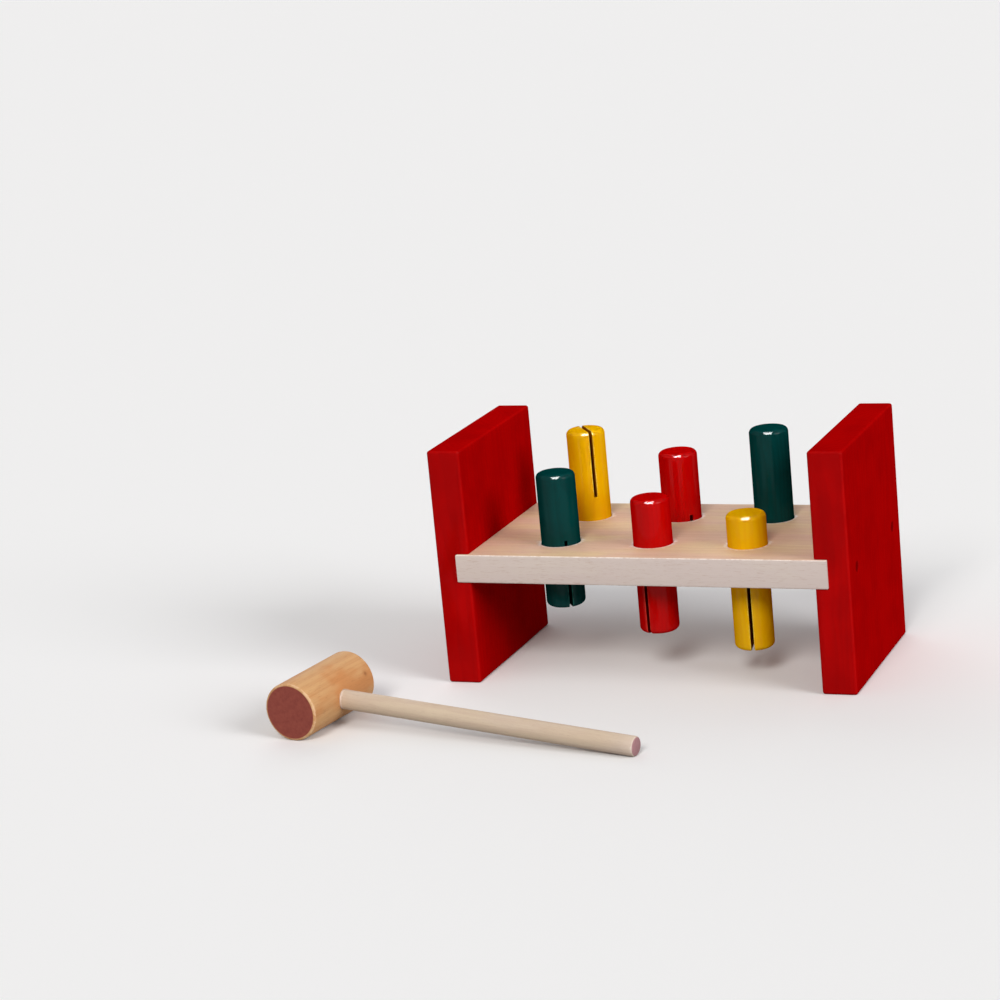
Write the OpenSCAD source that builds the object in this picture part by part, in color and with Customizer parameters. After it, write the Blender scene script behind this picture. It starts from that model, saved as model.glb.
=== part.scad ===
/* [Bench] */
// Length of the bench over the outer faces of its end boards
bench_length = 220; // [180:1:300]
// Depth of an end board, front to back
board_depth = 102; // [90:1:150]
// Height of an end board, which is also the height of the bench
board_height = 125; // [110:1:170]
// Thickness of an end board
board_thickness = 18; // [15:0.5:25]
// Radius that the edges of the end boards are sanded to
board_edge = 1.4; // [0.5:0.1:3]

/* [Plank] */
// Thickness of the plank that holds the pegs
plank_thickness = 15; // [12:0.5:20]
// How deep each end of the plank sits in the groove of its end board
housing_depth = 7; // [4:0.5:10]
// How far the plank's front edge stands out past the end boards
plank_proud = 1; // [0:0.1:2]
// Radius that the long edges of the plank are sanded to
plank_edge = 0.8; // [0.4:0.1:2]
// Distance between neighbouring peg holes along the plank
column_pitch = 50.5; // [40:0.5:65]
// Distance between the front and the back row of peg holes
row_spacing = 49; // [36:0.5:60]

/* [Pegs] */
// Diameter of a peg
peg_diameter = 20.4; // [16:0.2:26]
// Length of a peg
peg_length = 71; // [60:0.5:90]
// Radius that both ends of a peg are rounded to
peg_end_round = 2.6; // [1:0.1:5]
// Width of the saw cut that makes a peg springy
slot_width = 1.7; // [1:0.1:3]
// Gap round a peg in its hole, on the radius
peg_fit = 0.06; // [0.03:0.01:0.1]

/* [Dowels] */
// Diameter of the dowels that pin the plank to the end boards
dowel_diameter = 6; // [4:0.5:8]
// Length of a dowel
dowel_length = 34; // [24:1:45]
// Distance of a dowel's axis from the front or back face of its end board
dowel_inset = 15; // [9:0.5:22]
// How far a dowel's end lies below the outer face of its end board
dowel_recess = 0.5; // [0:0.1:2]
// Depth left free behind a dowel in the plank
dowel_relief = 1.5; // [0.5:0.1:4]
// Glue gap round a dowel or the mallet's handle, on the radius
glue_gap = 0.05; // [0:0.01:0.1]

/* [Mallet] */
// Diameter of the mallet's head
head_diameter = 30; // [26:0.5:40]
// Length of the mallet's head
head_length = 55; // [40:1:75]
// Chamfer round both faces of the head
head_chamfer = 1.1; // [0.4:0.1:3]
// Diameter of the mallet's handle
handle_diameter = 10; // [8:0.5:14]
// Distance from the head's axis to the far end of the handle
handle_reach = 181; // [140:1:240]
// How deep the handle is seated in the head
handle_seat = 20; // [12:0.5:24]
// Chamfer round the handle's ends
handle_chamfer = 1; // [0.3:0.1:2]

/* [Placement] */
// Free space between the mallet's head and the front of the end boards
mallet_gap = 39.5; // [5:0.5:60]
// How far the middle of the head lies to the left of the left end board
mallet_left = 41; // [10:1:80]
// Angle by which the handle turns away from the bench, in degrees
mallet_heading = 9; // [0:0.5:40]

/* [Hidden] */
$fn = 72;
// Overrun of every cut past the face that it starts from
cut = 1;

// The plank lies at mid-height, so the bench works either way up
plank_bottom = (board_height - plank_thickness) / 2;
plank_top = plank_bottom + plank_thickness;
plank_left = board_thickness - housing_depth;
plank_right = bench_length - plank_left;

peg_radius = peg_diameter / 2;
hole_radius = peg_radius + peg_fit;
peg_travel = peg_length - plank_thickness;
// Columns are left, middle and right, and rows are front and back
column_steps = [-1, 0, 1];
row_steps = [-1, 1];

dowel_radius = dowel_diameter / 2;
dowel_hole_radius = dowel_radius + glue_gap;
dowel_heights = board_height / 2;
dowel_rows = [dowel_inset, board_depth - dowel_inset];
dowel_bevel = dowel_radius / 6;

head_radius = head_diameter / 2;
handle_radius = handle_diameter / 2;
handle_start = head_radius - handle_seat;
// The head lies on the table and the far end of the handle droops onto it
handle_contact = handle_reach - handle_chamfer;
mallet_tilt = asin(head_radius / norm([handle_contact, handle_radius])) - atan(handle_radius / handle_contact);

// Half of the head's size to the front, and to the left
head_to_front = (head_length / 2 - head_chamfer) * cos(mallet_heading) + head_radius * sin(mallet_heading);
head_past_front = (head_length / 2) * cos(mallet_heading) + (head_radius - head_chamfer) * sin(mallet_heading);
head_to_left = (head_length / 2 - head_chamfer) * sin(mallet_heading) + head_radius * cos(mallet_heading);
mallet_x = -mallet_left;
mallet_y = -mallet_gap - max(head_to_front, head_past_front);

// Lowest and highest X and Y of the whole set, measured from the bench's own front left corner
tip_forward = sin(mallet_heading) * cos(mallet_tilt);
tip_right = cos(mallet_heading) * cos(mallet_tilt);
tip_front = mallet_y - handle_contact * tip_forward - handle_radius * sqrt(1 - pow(tip_forward, 2));
tip_side = mallet_x + handle_contact * tip_right + handle_radius * sqrt(1 - pow(tip_right, 2));
set_left = min(0, mallet_x - head_to_left);
set_right = max(bench_length, tip_side);
set_front = min(tip_front, mallet_y - max(head_to_front, head_past_front));
set_centre = [(set_left + set_right) / 2, (set_front + board_depth) / 2, 0];

// Where each peg is, how much of its travel its upper end stands above the plank as a share, whether its saw
// cut is in the upper end, how long the cut is as a share of the peg, and which way the cut faces in degrees
peg_shares = [
    // column, row, stand share, cut in upper end, cut share, cut angle
    [-1, -1, 0.67, false, 0.51, -54],
    [0, -1, 0.44, false, 0.53, -106],
    [1, -1, 0.30, false, 0.57, -80],
    [-1, 1, 0.86, true, 0.50, -54],
    [0, 1, 0.65, false, 0.53, -43],
    [1, 1, 0.87, false, 0.51, 10]
];

function hole_place(column, row) = [
    bench_length / 2 + column * column_pitch,
    board_depth / 2 + row * row_spacing / 2,
    0
];

// Everything is drawn from the bench's front left corner and then moved so that the set is centred
module on_table() {
    translate(-set_centre) children();
}

// A rectangle from the origin whose four corners are rounded
module rounded_outline(width, height, radius) {
    translate([radius, 0]) square([width - 2 * radius, height]);
    translate([0, radius]) square([width, height - 2 * radius]);
    for (x = [radius, width - radius], y = [radius, height - radius]) {
        translate([x, y]) circle(radius);
    }
}

// A block from the origin whose twelve edges are all rounded
module rounded_block(width, depth, height, radius) {
    intersection() {
        linear_extrude(height) rounded_outline(width, depth, radius);
        translate([0, depth, 0]) rotate([90, 0, 0])
            linear_extrude(depth) rounded_outline(width, height, radius);
        rotate([90, 0, 90]) linear_extrude(width) rounded_outline(depth, height, radius);
    }
}

// A board that stands on its end at the left, with its groove towards the right
module end_board() {
    difference() {
        rounded_block(board_thickness, board_depth, board_height, board_edge);
        translate([plank_left, -cut, plank_bottom])
            cube([housing_depth + cut, board_depth + 2 * cut, plank_thickness]);
        for (y = dowel_rows) {
            translate([-cut, y, dowel_heights]) rotate([0, 90, 0])
                cylinder(h = board_thickness, r = dowel_hole_radius);
        }
    }
}

module left_end_board() {
    color("firebrick") on_table() end_board();
}

module right_end_board() {
    color("firebrick") on_table() translate([bench_length, 0, 0]) mirror([1, 0, 0]) end_board();
}

module plank() {
    dowel_hole_depth = dowel_length + dowel_recess - plank_left + dowel_relief;
    color("blanchedalmond") on_table() difference() {
        translate([plank_left, -plank_proud, plank_bottom]) rotate([90, 0, 90])
            linear_extrude(plank_right - plank_left)
                rounded_outline(board_depth + plank_proud, plank_thickness, plank_edge);
        for (column = column_steps, row = row_steps) {
            translate(hole_place(column, row) + [0, 0, plank_bottom - cut])
                cylinder(h = plank_thickness + 2 * cut, r = hole_radius);
        }
        for (y = dowel_rows, end = [plank_left - cut, plank_right - dowel_hole_depth]) {
            translate([end, y, dowel_heights]) rotate([0, 90, 0])
                cylinder(h = dowel_hole_depth + cut, r = dowel_hole_radius);
        }
    }
}

// A dowel along X that starts at the origin, with both ends bevelled
module dowel() {
    rotate([0, 90, 0]) rotate_extrude() polygon([
        [0, 0], [dowel_radius - dowel_bevel, 0], [dowel_radius, dowel_bevel],
        [dowel_radius, dowel_length - dowel_bevel], [dowel_radius - dowel_bevel, dowel_length],
        [0, dowel_length]
    ]);
}

module left_dowel(y) {
    color("peru") on_table() translate([dowel_recess, y, dowel_heights]) dowel();
}

module right_dowel(y) {
    color("peru") on_table() translate([bench_length - dowel_recess, y, dowel_heights])
        mirror([1, 0, 0]) dowel();
}

module left_front_dowel() {
    left_dowel(dowel_rows[0]);
}

module left_back_dowel() {
    left_dowel(dowel_rows[1]);
}

module right_front_dowel() {
    right_dowel(dowel_rows[0]);
}

module right_back_dowel() {
    right_dowel(dowel_rows[1]);
}

// Half of a peg's outline, from its lower end at the origin
module peg_outline() {
    square([peg_radius - peg_end_round, peg_length]);
    translate([0, peg_end_round]) square([peg_radius, peg_length - 2 * peg_end_round]);
    for (z = [peg_end_round, peg_length - peg_end_round]) {
        translate([peg_radius - peg_end_round, z]) circle(peg_end_round);
    }
}

// A peg that stands in its own hole, sawn down the middle from one end
module peg(shares) {
    stand = shares[2] * peg_travel;
    cut_length = shares[4] * peg_length;
    cut_bottom = shares[3] ? peg_length - cut_length : -cut;
    on_table() translate(hole_place(shares[0], shares[1]) + [0, 0, plank_top + stand - peg_length]) difference() {
        rotate_extrude() peg_outline();
        rotate([0, 0, shares[5]]) translate([-peg_radius - cut, -slot_width / 2, cut_bottom])
            cube([peg_diameter + 2 * cut, slot_width, cut_length + cut]);
    }
}

module front_left_peg() {
    color("darkgreen") peg(peg_shares[0]);
}

module front_middle_peg() {
    color("red") peg(peg_shares[1]);
}

module front_right_peg() {
    color("gold") peg(peg_shares[2]);
}

module back_left_peg() {
    color("gold") peg(peg_shares[3]);
}

module back_middle_peg() {
    color("red") peg(peg_shares[4]);
}

module back_right_peg() {
    color("darkgreen") peg(peg_shares[5]);
}

// The mallet's own frame has the middle of its head at the origin, the head along Y and the handle along X
module mallet_frame() {
    on_table() translate([mallet_x, mallet_y, head_radius]) rotate([0, 0, -mallet_heading])
        rotate([0, mallet_tilt, 0]) children();
}

// A round bar along Z from the origin, chamfered at both ends
module turned_bar(radius, length, chamfer) {
    rotate_extrude() polygon([
        [0, 0], [radius - chamfer, 0], [radius, chamfer],
        [radius, length - chamfer], [radius - chamfer, length], [0, length]
    ]);
}

module mallet_head() {
    color("burlywood") mallet_frame() difference() {
        translate([0, head_length / 2, 0]) rotate([90, 0, 0])
            turned_bar(head_radius, head_length, head_chamfer);
        translate([handle_start, 0, 0]) rotate([0, 90, 0])
            cylinder(h = handle_seat + cut, r = handle_radius + glue_gap);
    }
}

module mallet_handle() {
    color("wheat") mallet_frame() translate([handle_start, 0, 0]) rotate([0, 90, 0])
        turned_bar(handle_radius, handle_reach - handle_start, handle_chamfer);
}

left_end_board();
right_end_board();
plank();
left_front_dowel();
left_back_dowel();
right_front_dowel();
right_back_dowel();
front_left_peg();
front_middle_peg();
front_right_peg();
back_left_peg();
back_middle_peg();
back_right_peg();
mallet_head();
mallet_handle();
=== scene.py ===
# %% [markdown]
# # A wooden pounding bench and its mallet
#
# Two red end boards hold a pale plank at mid-height. Six painted pegs are a snug fit in the plank's holes,
# and a loose mallet knocks them down until the bench is turned over. Each piece below is a surface worked out
# with numpy around the measured frame, so its size and place are the frame's own. The frame is loaded first.

# %% Load the frame
import math

import bmesh
import bpy
import numpy as np
from mathutils import Matrix, Vector


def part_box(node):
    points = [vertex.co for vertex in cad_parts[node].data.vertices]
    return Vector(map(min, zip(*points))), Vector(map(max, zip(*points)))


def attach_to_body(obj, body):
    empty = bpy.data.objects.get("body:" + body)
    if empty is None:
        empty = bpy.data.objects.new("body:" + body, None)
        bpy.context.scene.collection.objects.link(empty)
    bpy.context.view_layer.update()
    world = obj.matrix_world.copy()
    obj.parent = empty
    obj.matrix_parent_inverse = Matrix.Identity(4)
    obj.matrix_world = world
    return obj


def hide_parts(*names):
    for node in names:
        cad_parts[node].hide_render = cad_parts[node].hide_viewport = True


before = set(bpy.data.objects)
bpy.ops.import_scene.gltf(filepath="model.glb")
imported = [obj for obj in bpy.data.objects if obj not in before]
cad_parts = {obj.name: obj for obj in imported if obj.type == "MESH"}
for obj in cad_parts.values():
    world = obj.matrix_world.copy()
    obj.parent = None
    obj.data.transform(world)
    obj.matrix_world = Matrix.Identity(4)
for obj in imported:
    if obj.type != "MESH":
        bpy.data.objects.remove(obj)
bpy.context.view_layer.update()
MM = 0.001

# %% [markdown]
# ## Sizes
#
# A real maker would start from a cutting list. Here the frame is the list: the corners of each node give the
# thickness of a board, the height of the plank and the radius of a peg. Only what a box can't tell, such as
# how far an edge is sanded or where a peg is sawn, is written down as a value, in the cell that first needs
# it.

# %% Read sizes off the frame
def corners(node):
    """Lowest and highest corner of a node, as two rows of x, y and z."""
    return np.array([list(corner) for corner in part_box(node)])


left_board, right_board, plank_box = map(corners, ("left_end_board", "right_end_board", "plank"))
print("bench length in mm:", round((right_board[1, 0] - left_board[0, 0]) / MM, 1))

# %% [markdown]
# ## Camera
#
# The bench is seen from its right front, a little from above, with a long lens, so its uprights stay nearly
# parallel. A camera could be aimed with a constraint, but its turn is worked out here from three angles,
# because the picture is also rolled a little: the length of the bench climbs to the right. The lens needs no
# shift. The lamps use the same turn further down, since they face the bench too.

# %% Place the camera
VIEW_AZIMUTH = math.radians(22.78)
VIEW_ELEVATION = math.radians(14.31)
VIEW_ROLL = math.radians(5.5)
VIEW_DISTANCE = 1.5265
VIEW_LENS = 103.5
VIEW_AIM = Vector((-0.0628, 0.0509, 0.0853))
FAR_CLIP = 100


def facing_turn(azimuth, elevation, roll=0.0):
    """Turn whose columns are right, up and back, with right and up rolled about the line of sight."""
    aside, level_share = math.sin(azimuth), math.cos(elevation)
    back = Vector((aside * level_share, -math.cos(azimuth) * level_share, math.sin(elevation)))
    level = Vector((math.cos(azimuth), aside, 0))
    upright = back.cross(level)
    right = math.cos(roll) * level - math.sin(roll) * upright
    up = math.sin(roll) * level + math.cos(roll) * upright
    return Matrix((right, up, back)).transposed()


def face_towards(name, data, middle, turn, distance):
    """An object that looks at the middle from a distance along its own back direction."""
    made = bpy.data.objects.new(name, data)
    made.matrix_world = Matrix.Translation(turn.col[2] * distance + middle) @ turn.to_4x4()
    bpy.context.scene.collection.objects.link(made)
    return made


view_turn = facing_turn(VIEW_AZIMUTH, VIEW_ELEVATION, VIEW_ROLL)
camera = face_towards("camera", bpy.data.cameras.new("camera"), VIEW_AIM, view_turn, VIEW_DISTANCE)
camera.data.lens = VIEW_LENS
camera.data.clip_end = FAR_CLIP
bpy.context.scene.camera = camera
print("camera in mm:", [round(v / MM) for v in camera.matrix_world.translation])

# %% [markdown]
# ## From grids of points to closed skins
#
# Every piece is one or more patches. A patch is a grid of points, rows by columns, and neighbouring points
# make a four-sided face. Patches that share an edge repeat its points, and welding the repeats closes the
# skin. Each point also carries marks for the finishes, from 0 to 1: how near it is to an edge, whether it
# lies on end grain, on the planed side of a plank, or in a recess such as a saw cut.

# %% Patches and skins
WELD = 0.002 * MM
SHARP_ANGLE = math.radians(50)
MARKS = ("edge", "end_grain", "side", "recess")


def patch(points, closed=False, ends="", **marks):
    """A grid of points with its marks. A closed one joins its last column to its first, and ends names the
    rows that are filled as flat faces."""
    return {"points": points, "closed": closed, "ends": ends, **dict.fromkeys(MARKS, 0.0), **marks}


def patch_faces(rows, columns, closed, first):
    """Corner numbers of each face: point (i, j), its neighbour in the row, and both again in the next row."""
    i, j = np.mgrid[0:rows - 1, 0:columns if closed else columns - 1]
    k = (j + 1) % columns
    faces = np.stack([i * columns + j, i * columns + k, (i + 1) * columns + k, (i + 1) * columns + j], -1)
    return (first + faces.reshape(-1, 4)).tolist()


def skin(name, patches):
    """Joins patches into one mesh, welds equal points, turns faces outward and keeps true edges sharp."""
    first, points, faces, marks = 0, [], [], {key: [] for key in MARKS}
    for each in patches:
        rows, columns = each["points"].shape[:2]
        points.append(each["points"].reshape(-1, 3))
        faces += patch_faces(rows, columns, each["closed"], first)
        for end, row in (("first", 0), ("last", rows - 1)):
            if end in each["ends"]:
                faces.append(list(range(first + row * columns, first + (row + 1) * columns)))
        for key, values in marks.items():
            values.append(np.broadcast_to(each[key], (rows, columns)).ravel())
        first += rows * columns
    mesh = bpy.data.meshes.new(name)
    mesh.from_pydata(np.concatenate(points).tolist(), [], faces)
    for key, values in marks.items():
        mark = mesh.attributes.new(key, "FLOAT", "POINT")
        mark.data.foreach_set("value", np.concatenate(values).astype(np.float32))
    form = bmesh.new()
    form.from_mesh(mesh)
    bmesh.ops.remove_doubles(form, verts=form.verts, dist=WELD)
    bmesh.ops.recalc_face_normals(form, faces=form.faces)
    open_edges = sum(not edge.is_manifold for edge in form.edges)
    form.to_mesh(mesh)
    form.free()
    mesh.shade_smooth()
    mesh.set_sharp_from_angle(angle=SHARP_ANGLE)
    piece = bpy.data.objects.new(name, mesh)
    bpy.context.scene.collection.objects.link(piece)
    print(f"{name}: {len(mesh.vertices)} points, {len(mesh.polygons)} faces, {open_edges} open edges")
    return piece


# %% [markdown]
# Rounded edges and rows of points come back on every piece, so they have small helpers of their own. Points
# are packed closely where the shape bends and thinly where it is flat.

# %% Arcs and rows of points
ROUND_POINTS = 7
DECIMALS = 7


def joined(*parts):
    """Arrays or single numbers for x, y and maybe z, stretched to one shape and joined as points."""
    return np.stack(np.broadcast_arrays(*parts), -1)


def lifted(flat, z):
    """Rows of flat points, each row lifted to its own height."""
    return joined(flat[..., 0], flat[..., 1], z[:, None])


def arc(centre, radius, start, stop, count=ROUND_POINTS):
    """Centre plus radius times cosine and sine of an angle that grows evenly, in degrees."""
    angle = np.radians(np.linspace(start, stop, count))
    return joined(centre[0] + radius * np.cos(angle), centre[1] + radius * np.sin(angle))


def spaced(low, high, coarse, fine=None, spots=(), reach=0.0):
    """Even steps from low to high, with fine steps within reach of each spot. Rounding drops the repeats."""
    rows = [np.linspace(low, high, max(2, round((high - low) / coarse) + 1))]
    rows += [np.arange(spot - reach, spot + reach, fine) for spot in spots]
    values = np.unique(np.round(np.concatenate(rows), DECIMALS))
    return values[(values >= low - WELD) & (values <= high + WELD)]


def soft_step(low, high, value):
    """Zero below low, one above high, and 3t squared minus 2t cubed between them."""
    t = np.clip((value - low) / (high - low), 0, 1)
    return t * t * (3 - 2 * t)


def nearness(distance, reach):
    """One at an edge, falling as a bell curve with the distance from it."""
    return np.exp(-np.square(distance / reach))


# %% [markdown]
# ## End boards
#
# Each end board is a sanded block with a groove across its inner face that the plank is glued into. A box
# with a bevel would be quick, but the groove's mouth is eased far less than the outer edges, so the board is
# a C-shaped outline carried from front to back. Near both ends the outline shrinks along a quarter circle,
# which rounds the long edges. Two dowels pin the plank through the board. Their ends are painted over and
# show as faint dimples on the outer face, pressed into the skin with a smooth step and darkened with
# painted shade.

# %% Outline and dimples of a board
BOARD_EDGE = 1.4 * MM
GROOVE_EASE = 0.3 * MM
LIP_POINTS = 4
DIMPLE_DEPTH = 0.42 * MM
DIMPLE_RADIUS = 3.1 * MM
DIMPLE_RIM = 0.7 * MM
BOARD_STEP = 4 * MM
DIMPLE_STEP = 0.4 * MM
DIMPLE_REACH = 4.4 * MM
dowel_places = np.array([corners(node).mean(0)[1:] for node in ("left_front_dowel", "left_back_dowel")])


def board_outline(width, height, groove, inset):
    """Closed outline of a board seen from the front, with its outer face at x = 0, drawn smaller by inset.

    groove is (depth, low, high). Outer corners are quarter circles whose radius shrinks with the inset.
    """
    depth, low, high = groove
    radius = BOARD_EDGE - inset
    ease = inset * GROOVE_EASE / BOARD_EDGE
    lip = GROOVE_EASE
    inner = width - inset
    left, right, bottom, top = BOARD_EDGE, width - BOARD_EDGE, BOARD_EDGE, height - BOARD_EDGE
    face = spaced(bottom, top, BOARD_STEP, DIMPLE_STEP, [dowel_places[0, 1]], DIMPLE_REACH)[1:-1]
    lower = spaced(bottom, low - lip - ease, BOARD_STEP)[1:-1]
    upper = spaced(high + lip + ease, top, BOARD_STEP)[1:-1]
    across = spaced(left, right, BOARD_STEP)[1:-1]
    return np.concatenate([
        arc((left, bottom), radius, 180, 270), joined(across, inset),
        arc((right, bottom), radius, 270, 360), joined(inner, lower),
        arc((inner - lip, low - ease - lip), lip, 0, 90, LIP_POINTS),
        [[width - depth, low - ease], [width - depth, high + ease]],
        arc((inner - lip, high + ease + lip), lip, -90, 0, LIP_POINTS), joined(inner, upper),
        arc((right, top), radius, 0, 90), joined(across[::-1], height - inset),
        arc((left, top), radius, 90, 180), joined(inset, face[::-1])])


def press_dimples(points):
    """Moves points of the outer face inward by a smooth step of their distance from the nearest dowel, and
    gives the step itself, from 0 to 1."""
    away = np.linalg.norm(points[..., None, 1:] - dowel_places, axis=-1).min(-1)
    pressed = soft_step(DIMPLE_RADIUS, DIMPLE_RADIUS - DIMPLE_RIM, away) * (points[..., 0] < WELD)
    points[..., 0] += DIMPLE_DEPTH * pressed
    return pressed


print("dimples at y and z in mm:", np.round(dowel_places / MM, 1).tolist())

# %% [markdown]
# The mark for edges is the second smallest distance to the six sides of the block: on a face the smallest is
# zero, and the second one says how far the nearest edge is. Top and bottom are end grain, because a groove
# for a plank is cut across the grain of an upright board.

# %% Carry the outline from front to back
EDGE_REACH = 1.6 * MM
# share of the dark shaded paint colour laid into each dimple as painted shade
DIMPLE_SHADE = 0.55


def box_edge_distance(points, low, high):
    """Second smallest of a point's distances to the sides of its block."""
    sides = np.concatenate([np.abs(points - low), np.abs(points - high)], -1)
    return np.partition(sides, 1, axis=-1)[..., 1]


def end_board(name, low, high, groove_depth, mirrored):
    """A stack of outlines along Y. Near the ends the inset is the radius times one minus a cosine."""
    width, _, height = high - low
    groove = (groove_depth, *(plank_box[:, 2] - low[2]))
    angle = np.radians(np.linspace(90, 0, ROUND_POINTS))
    ends, inset = BOARD_EDGE * (1 - np.sin(angle)), BOARD_EDGE * (1 - np.cos(angle))
    middle = spaced(low[1] + BOARD_EDGE, high[1] - BOARD_EDGE, BOARD_STEP, DIMPLE_STEP, dowel_places[:, 0],
                    DIMPLE_REACH)[1:-1]
    y = np.concatenate([low[1] + ends, middle, (high[1] - ends)[::-1]])
    insets = np.concatenate([inset, np.zeros(len(middle)), inset[::-1]])
    outlines = np.stack([board_outline(width, height, groove, each) for each in insets])
    points = joined(outlines[..., 0], y[:, None], outlines[..., 1])
    sides = box_edge_distance(points, np.array([0, low[1], 0]), np.array([width, high[1], height]))
    end_grain = (points[..., 2] < BOARD_EDGE / 2) | (points[..., 2] > height - BOARD_EDGE / 2)
    # the dimples take painted shade through the recess mark
    dimple = DIMPLE_SHADE * press_dimples(points)
    points[..., 0] = high[0] - points[..., 0] if mirrored else low[0] + points[..., 0]
    points[..., 2] += low[2]
    return skin(name, [patch(points, closed=True, ends="first last", edge=nearness(sides, EDGE_REACH),
                             end_grain=end_grain.astype(float), recess=dimple)])


left_end = end_board("left_board", *left_board, left_board[1, 0] - plank_box[0, 0], False)
right_end = end_board("right_board", *right_board, plank_box[1, 0] - right_board[0, 0], True)

# %% [markdown]
# ## Plank with six holes
#
# A drilled plank is often made with booleans, which leave long thin faces round each hole. Here the plank is
# laid out as six cells, one per hole. In a cell, rings of points pass over from the cell's square border to
# the round mouth of the hole, curl over the eased mouth and run down the bore. Neighbouring cells share their
# border points. A strip round the outside rounds the long edges and closes the skin.

# %% One cell of the plank
HOLE_FIT = 0.06 * MM
HOLE_EASE = 0.6 * MM
# reach of the pale band round each hole's mouth
HOLE_PALE_REACH = 4 * MM
EASE_POINTS = 6
CELL_POINTS = 26
CELL_RINGS = 8
PEGS = [f"{row}_{column}_peg" for row in ("front", "back") for column in ("left", "middle", "right")]
peg_boxes = {name: corners(name) for name in PEGS}
peg_radius = np.ptp(peg_boxes["front_left_peg"][:, 0]) / 2
hole_radius = peg_radius + HOLE_FIT


def divided(cuts):
    """Each stretch between two cuts in the same number of even steps."""
    steps = np.arange((len(cuts) - 1) * CELL_POINTS + 1) / CELL_POINTS
    return np.interp(steps, np.arange(len(cuts)), cuts)


def loop_round(x, y):
    """Points round a rectangle whose sides are divided at x and y, starting at its lowest corner."""
    return np.concatenate([joined(x[:-1], y[0]), joined(x[-1], y[:-1]), joined(x[:0:-1], y[-1]),
                           joined(x[0], y[:0:-1])])


def mouth_section(rings, ease):
    """Half a cell: shares of the way from border to mouth, then widening and drop along the ease."""
    angle = np.radians(np.linspace(0, 90, EASE_POINTS))[1:]
    share = np.concatenate([np.linspace(0, 1, rings), np.ones(len(angle))])
    widen = np.concatenate([np.full(rings, ease), ease * (1 - np.sin(angle))])
    drop = np.concatenate([np.zeros(rings), ease * (1 - np.cos(angle))])
    return share, widen, drop


def there_and_back(values):
    """Values followed by the same ones in reverse."""
    return np.concatenate([values, values[::-1]])


def down_through(z, drop):
    """Heights a drop below the top, followed by the same drop above the bottom in reverse."""
    return np.concatenate([z[1] - drop, (z[0] + drop)[::-1]])


def plank_cell(x, y, centre, z):
    """Border plus a share of the way to a circle round the centre, over the top, down the bore and below."""
    border = loop_round(divided(x), divided(y))
    toward = border - centre
    toward /= np.linalg.norm(toward, axis=-1, keepdims=True)
    share, widen, drop = mouth_section(CELL_RINGS, HOLE_EASE)
    rim = centre + toward * (hole_radius + there_and_back(widen)[:, None, None])
    flat = border + there_and_back(share)[:, None, None] * (rim - border)
    distance = np.linalg.norm(flat - centre, axis=-1) - hole_radius
    return patch(lifted(flat, down_through(z, drop)), closed=True, edge=nearness(distance, HOLE_PALE_REACH))


print("holes in mm:", round(2 * hole_radius / MM, 2), "round pegs of", round(2 * peg_radius / MM, 2))

# %% [markdown]
# The outer strip starts on the same border points, so it divides the plank's outline at the cells' own cuts.
# It moves outward by the sine of an angle and down by one minus its cosine, which is a quarter-round edge.

# %% The whole plank
PLANK_EDGE = 0.8 * MM
inset_low, inset_high = plank_box[0] + PLANK_EDGE, plank_box[1] - PLANK_EDGE
hole_x = np.array([peg_boxes[name].mean(0)[0] for name in PEGS[:3]])
hole_y = np.array([peg_boxes[name].mean(0)[1] for name in PEGS[::3]])
cuts_x = [inset_low[0], *(hole_x[:-1] + hole_x[1:]) / 2, inset_high[0]]
cuts_y = [inset_low[1], hole_y.mean(), inset_high[1]]
plank_z = plank_box[:, 2]
cells = [plank_cell(cuts_x[i:i + 2], cuts_y[j:j + 2], np.array([x, y]), plank_z)
         for j, y in enumerate(hole_y) for i, x in enumerate(hole_x)]


def strip_round_plank():
    """The border of all cells, moved out and down along a quarter circle, down the side and back under."""
    ring = loop_round(divided(cuts_x), divided(cuts_y))
    outward = (ring >= ring.max(0) - WELD).astype(float) - (ring <= ring.min(0) + WELD)
    angle = np.radians(np.linspace(0, 90, EASE_POINTS))
    out = there_and_back(PLANK_EDGE * np.sin(angle))
    flat = ring + out[:, None, None] * outward
    points = lifted(flat, down_through(plank_z, PLANK_EDGE * (1 - np.cos(angle))))
    side = (out / PLANK_EDGE)[:, None]
    at_end = (outward[:, 0] != 0) & (outward[:, 1] == 0)
    # the edge mark peaks on the rounded arris, where the pale edge colour is also a painted highlight
    edge = there_and_back(np.sin(2 * angle))[:, None]
    return patch(points, closed=True, edge=edge, end_grain=at_end * side, side=side)


plank = skin("pine_plank", cells + [strip_round_plank()])

# %% [markdown]
# ## Pegs
#
# A peg is a turned dowel with rounded ends, sawn down the middle for about half its length so that it
# squeezes into its hole. Past the saw cut it is round; beside the cut it is two halves with a D-shaped
# section. So a peg is a stack of round outlines and, for each half, a stack of D outlines: an arc from one
# side of the cut to the other and a straight wall back. Corners of the D are cut off a little, as paint and
# tumbling leave them. All stacks use the same points where they meet, at the floor of the cut.

# %% Outlines of a peg
SAW_CUT = 1.7 * MM
CUT_ARRIS = 0.28 * MM
ARC_POINTS = 57
WALL_POINTS = 20
CROWDING = 0.35


def half_arc(radius, gap):
    """Arc of one half, from one side of the cut to the other: radius times cosine and sine of a share of the
    angle at which the circle meets the cut. Part of each share is a sine, which crowds the corners."""
    reach = np.arccos(gap / radius) - CUT_ARRIS / radius
    even = np.linspace(-1, 1, ARC_POINTS)
    angle = reach[:, None] * (CROWDING * np.sin(even * math.pi / 2) + (1 - CROWDING) * even)
    return joined(radius[:, None] * np.cos(angle), radius[:, None] * np.sin(angle))


def half_wall(radius, gap):
    """Straight wall of one half at x = gap, from its arc's end back to the start, with crowded corners."""
    reach = np.sqrt(np.square(radius) - np.square(gap)) - CUT_ARRIS
    return joined(gap[:, None], reach[:, None] * np.sin(np.linspace(0.5, -0.5, WALL_POINTS) * math.pi))


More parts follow.
